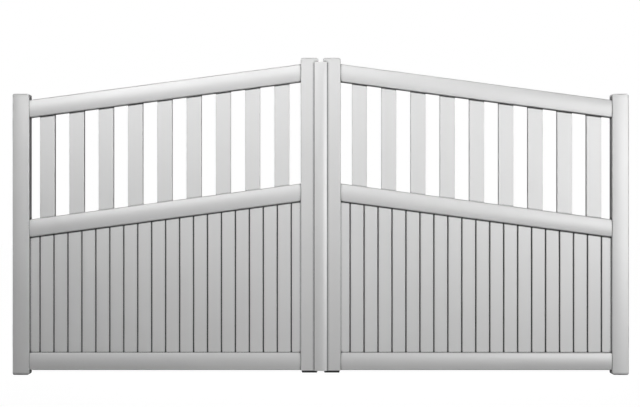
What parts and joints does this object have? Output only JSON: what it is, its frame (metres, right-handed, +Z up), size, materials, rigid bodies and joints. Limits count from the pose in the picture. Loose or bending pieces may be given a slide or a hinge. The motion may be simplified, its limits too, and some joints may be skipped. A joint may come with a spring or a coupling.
{
  "type": "aluminium double swing gate",
  "caption": "Driveway gate in light grey aluminium: paired leaves with boards below, pickets above, a climbing top and a cover strip.",
  "frame": {"origin": "middle of the left lower hinge plate's wall face, which lies on the left pier", "axes": "+X across the opening to the right pier, +Y inwards, the way the leaves open, +Z up"},
  "size_m": [3.54, 0.1545, 1.7995],
  "materials": {
    "frame_aluminium": "satin light grey",
    "infill_aluminium": "satin light grey",
    "cap_aluminium": "satin light grey",
    "galvanised_steel": "galvanised",
    "bearing_plastic": "moulded",
    "foot_plastic": "moulded"
  },
  "bodies": {
    "wall_hinges": {"left_lower_wall_hinge": "galvanised_steel", "left_upper_wall_hinge": "galvanised_steel", "right_lower_wall_hinge": "galvanised_steel", "right_upper_wall_hinge": "galvanised_steel", "left_lower_hinge_washer": "bearing_plastic", "left_upper_hinge_washer": "bearing_plastic", "right_lower_hinge_washer": "bearing_plastic", "right_upper_hinge_washer": "bearing_plastic"},
    "left_leaf": {"left_hinge_stile": "frame_aluminium", "left_meeting_stile": "frame_aluminium", "left_top_rail": "frame_aluminium", "left_mid_rail": "frame_aluminium", "left_bottom_rail": "frame_aluminium", "left_pickets": "infill_aluminium", "left_boards": "infill_aluminium", "left_hinge_stile_top_cap": "cap_aluminium", "left_hinge_stile_bottom_cap": "cap_aluminium", "left_meeting_stile_top_cap": "cap_aluminium", "left_meeting_stile_foot": "foot_plastic", "left_lower_hinge_strap": "galvanised_steel", "left_upper_hinge_strap": "galvanised_steel"},
    "right_leaf": {"right_hinge_stile": "frame_aluminium", "right_meeting_stile": "frame_aluminium", "right_top_rail": "frame_aluminium", "right_mid_rail": "frame_aluminium", "right_bottom_rail": "frame_aluminium", "right_pickets": "infill_aluminium", "right_boards": "infill_aluminium", "right_hinge_stile_top_cap": "cap_aluminium", "right_hinge_stile_bottom_cap": "cap_aluminium", "right_meeting_stile_top_cap": "cap_aluminium", "right_meeting_stile_foot": "foot_plastic", "right_lower_hinge_strap": "galvanised_steel", "right_upper_hinge_strap": "galvanised_steel", "right_cover_strip": "frame_aluminium"}
  },
  "joints": [
    {"name": "left_leaf_swing", "type": "hinge", "parent": "wall_hinges", "child": "left_leaf", "pos_m": [0.044, -0.03, 0], "axis": [0, 0, 1], "range_deg": [0, 100]},
    {"name": "right_leaf_swing", "type": "hinge", "parent": "wall_hinges", "child": "right_leaf", "pos_m": [3.496, -0.03, 0], "axis": [0, 0, 1], "range_deg": [-90, 0]}
  ],
  "couplings": [
    {"joint": "right_leaf_swing", "follows": "left_leaf_swing", "ratio": -0.9}
  ]
}
